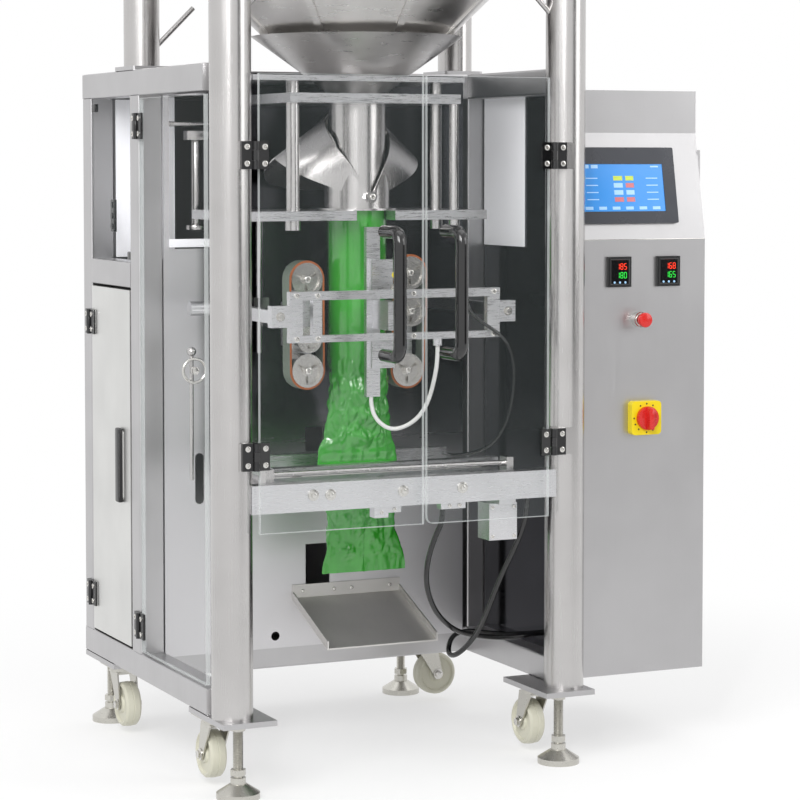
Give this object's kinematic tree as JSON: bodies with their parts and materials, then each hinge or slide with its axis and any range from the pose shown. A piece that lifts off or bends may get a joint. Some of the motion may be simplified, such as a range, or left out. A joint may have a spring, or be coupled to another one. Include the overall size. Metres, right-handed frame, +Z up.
{
  "type": "potato chip packaging machine",
  "caption": "Upright machine that forms film into bags round a tube, fills them from a funnel and seals them, with clear doors and a side control cabinet.",
  "frame": {"origin": "on the floor, at the middle of the machine's outer box", "axes": "+Z up, -Y towards the operator at the front doors, +X towards the control cabinet"},
  "size_m": [1.088, 0.884, 1.65],
  "materials": {
    "brushed": "brushed stainless steel",
    "polished": "polished stainless steel",
    "clear": "clear acrylic sheet",
    "black": "black moulded plastic",
    "screen": "grey screen bezel",
    "red": "red moulded plastic",
    "yellow": "yellow moulded plastic",
    "cream": "cream nylon",
    "zinc": "zinc plated steel",
    "belt": "red-brown belt rubber",
    "aluminium": "machined aluminium",
    "film": "green packaging film",
    "cable": "black rubber cable jacket",
    "hose": "white nylon hose"
  },
  "bodies": {
    "frame": {"base_side_rails": "brushed", "top_side_rails": "brushed", "cabinet_posts": "brushed", "cabinet_cross_rails": "brushed", "front_columns": "brushed", "rear_columns": "brushed", "column_flanges": "brushed", "head_frame": "brushed", "knee_braces": "polished", "foot_plates": "brushed", "levelling_feet": "zinc", "caster_forks": "zinc", "front_panel": "brushed", "right_side_wall": "brushed", "rear_panel": "brushed", "top_cover": "brushed", "floor_plate": "brushed", "left_window": "clear", "front_beam": "aluminium", "upper_former_plate": "brushed", "lower_former_plate": "brushed", "funnel_plate": "brushed", "former_rods": "polished", "forming_tube": "polished", "forming_collar": "polished", "product_funnel": "polished", "upper_chute": "polished", "film_bag": "film", "belt_pulleys": "aluminium", "draw_belts": "belt", "belt_housings": "aluminium", "sealer_frame": "aluminium", "vertical_sealer": "aluminium", "guide_shafts": "polished", "jaw_rods": "polished", "sealing_jaws": "aluminium", "discharge_tray": "brushed", "control_cabinet": "brushed", "touch_screen": "screen", "temperature_controllers": "black", "button_ring": "polished", "isolator_plate": "yellow", "column_hinge_leaves": "black", "cable_left": "cable", "cable_right": "cable", "sealer_cable": "cable", "window_cable": "cable", "white_hose": "hose"},
    "left_front_door": {"left_front_door": "clear", "left_door_fittings": "black"},
    "right_front_door": {"right_front_door": "clear", "right_door_fittings": "black"},
    "left_side_door": {"left_side_door": "clear"},
    "lower_left_door": {"lower_left_door": "brushed"},
    "isolator_knob": {"isolator_knob": "red"},
    "stop_button": {"stop_button": "red"},
    "wheel_front_left": {"caster_wheel_front_left": "cream"},
    "wheel_front_right": {"caster_wheel_front_right": "cream"},
    "wheel_rear_left": {"caster_wheel_rear_left": "cream"},
    "wheel_rear_right": {"caster_wheel_rear_right": "cream"}
  },
  "joints": [
    {"name": "left_front_door_hinge", "type": "hinge", "parent": "frame", "child": "left_front_door", "pos_m": [-0.453, -0.3662, 0.895], "axis": [0, 0, -1], "range_deg": [0, 160]},
    {"name": "right_front_door_hinge", "type": "hinge", "parent": "frame", "child": "right_front_door", "pos_m": [0.15, -0.3662, 0.895], "axis": [0, 0, 1], "range_deg": [0, 160]},
    {"name": "left_side_door_hinge", "type": "hinge", "parent": "frame", "child": "left_side_door", "pos_m": [-0.528, 0.071, 0.74], "axis": [0, 0, -1], "range_deg": [0, 110]},
    {"name": "lower_left_door_hinge", "type": "hinge", "parent": "frame", "child": "lower_left_door", "pos_m": [-0.528, 0.368, 0.55], "axis": [0, 0, -1], "range_deg": [0, 100]},
    {"name": "isolator_turn", "type": "hinge", "parent": "frame", "child": "isolator_knob", "pos_m": [0.398, -0.295, 0.653], "axis": [0, 1, 0], "range_deg": [0, 90]},
    {"name": "stop_button_press", "type": "slide", "parent": "frame", "child": "stop_button", "axis": [0, 1, 0], "range_m": [0, 0.004], "stiffness_N_per_m": 800},
    {"name": "front_left_wheel_roll", "type": "hinge", "parent": "frame", "child": "wheel_front_left", "pos_m": [-0.48, -0.2, 0.058], "axis": [1, 0, 0], "continuous": true},
    {"name": "front_right_wheel_roll", "type": "hinge", "parent": "frame", "child": "wheel_front_right", "pos_m": [0.183, -0.2, 0.058], "axis": [1, 0, 0], "continuous": true},
    {"name": "rear_left_wheel_roll", "type": "hinge", "parent": "frame", "child": "wheel_rear_left", "pos_m": [-0.48, 0.28, 0.058], "axis": [1, 0, 0], "continuous": true},
    {"name": "rear_right_wheel_roll", "type": "hinge", "parent": "frame", "child": "wheel_rear_right", "pos_m": [0.221, 0.308, 0.058], "axis": [0, 1, 0], "continuous": true}
  ]
}
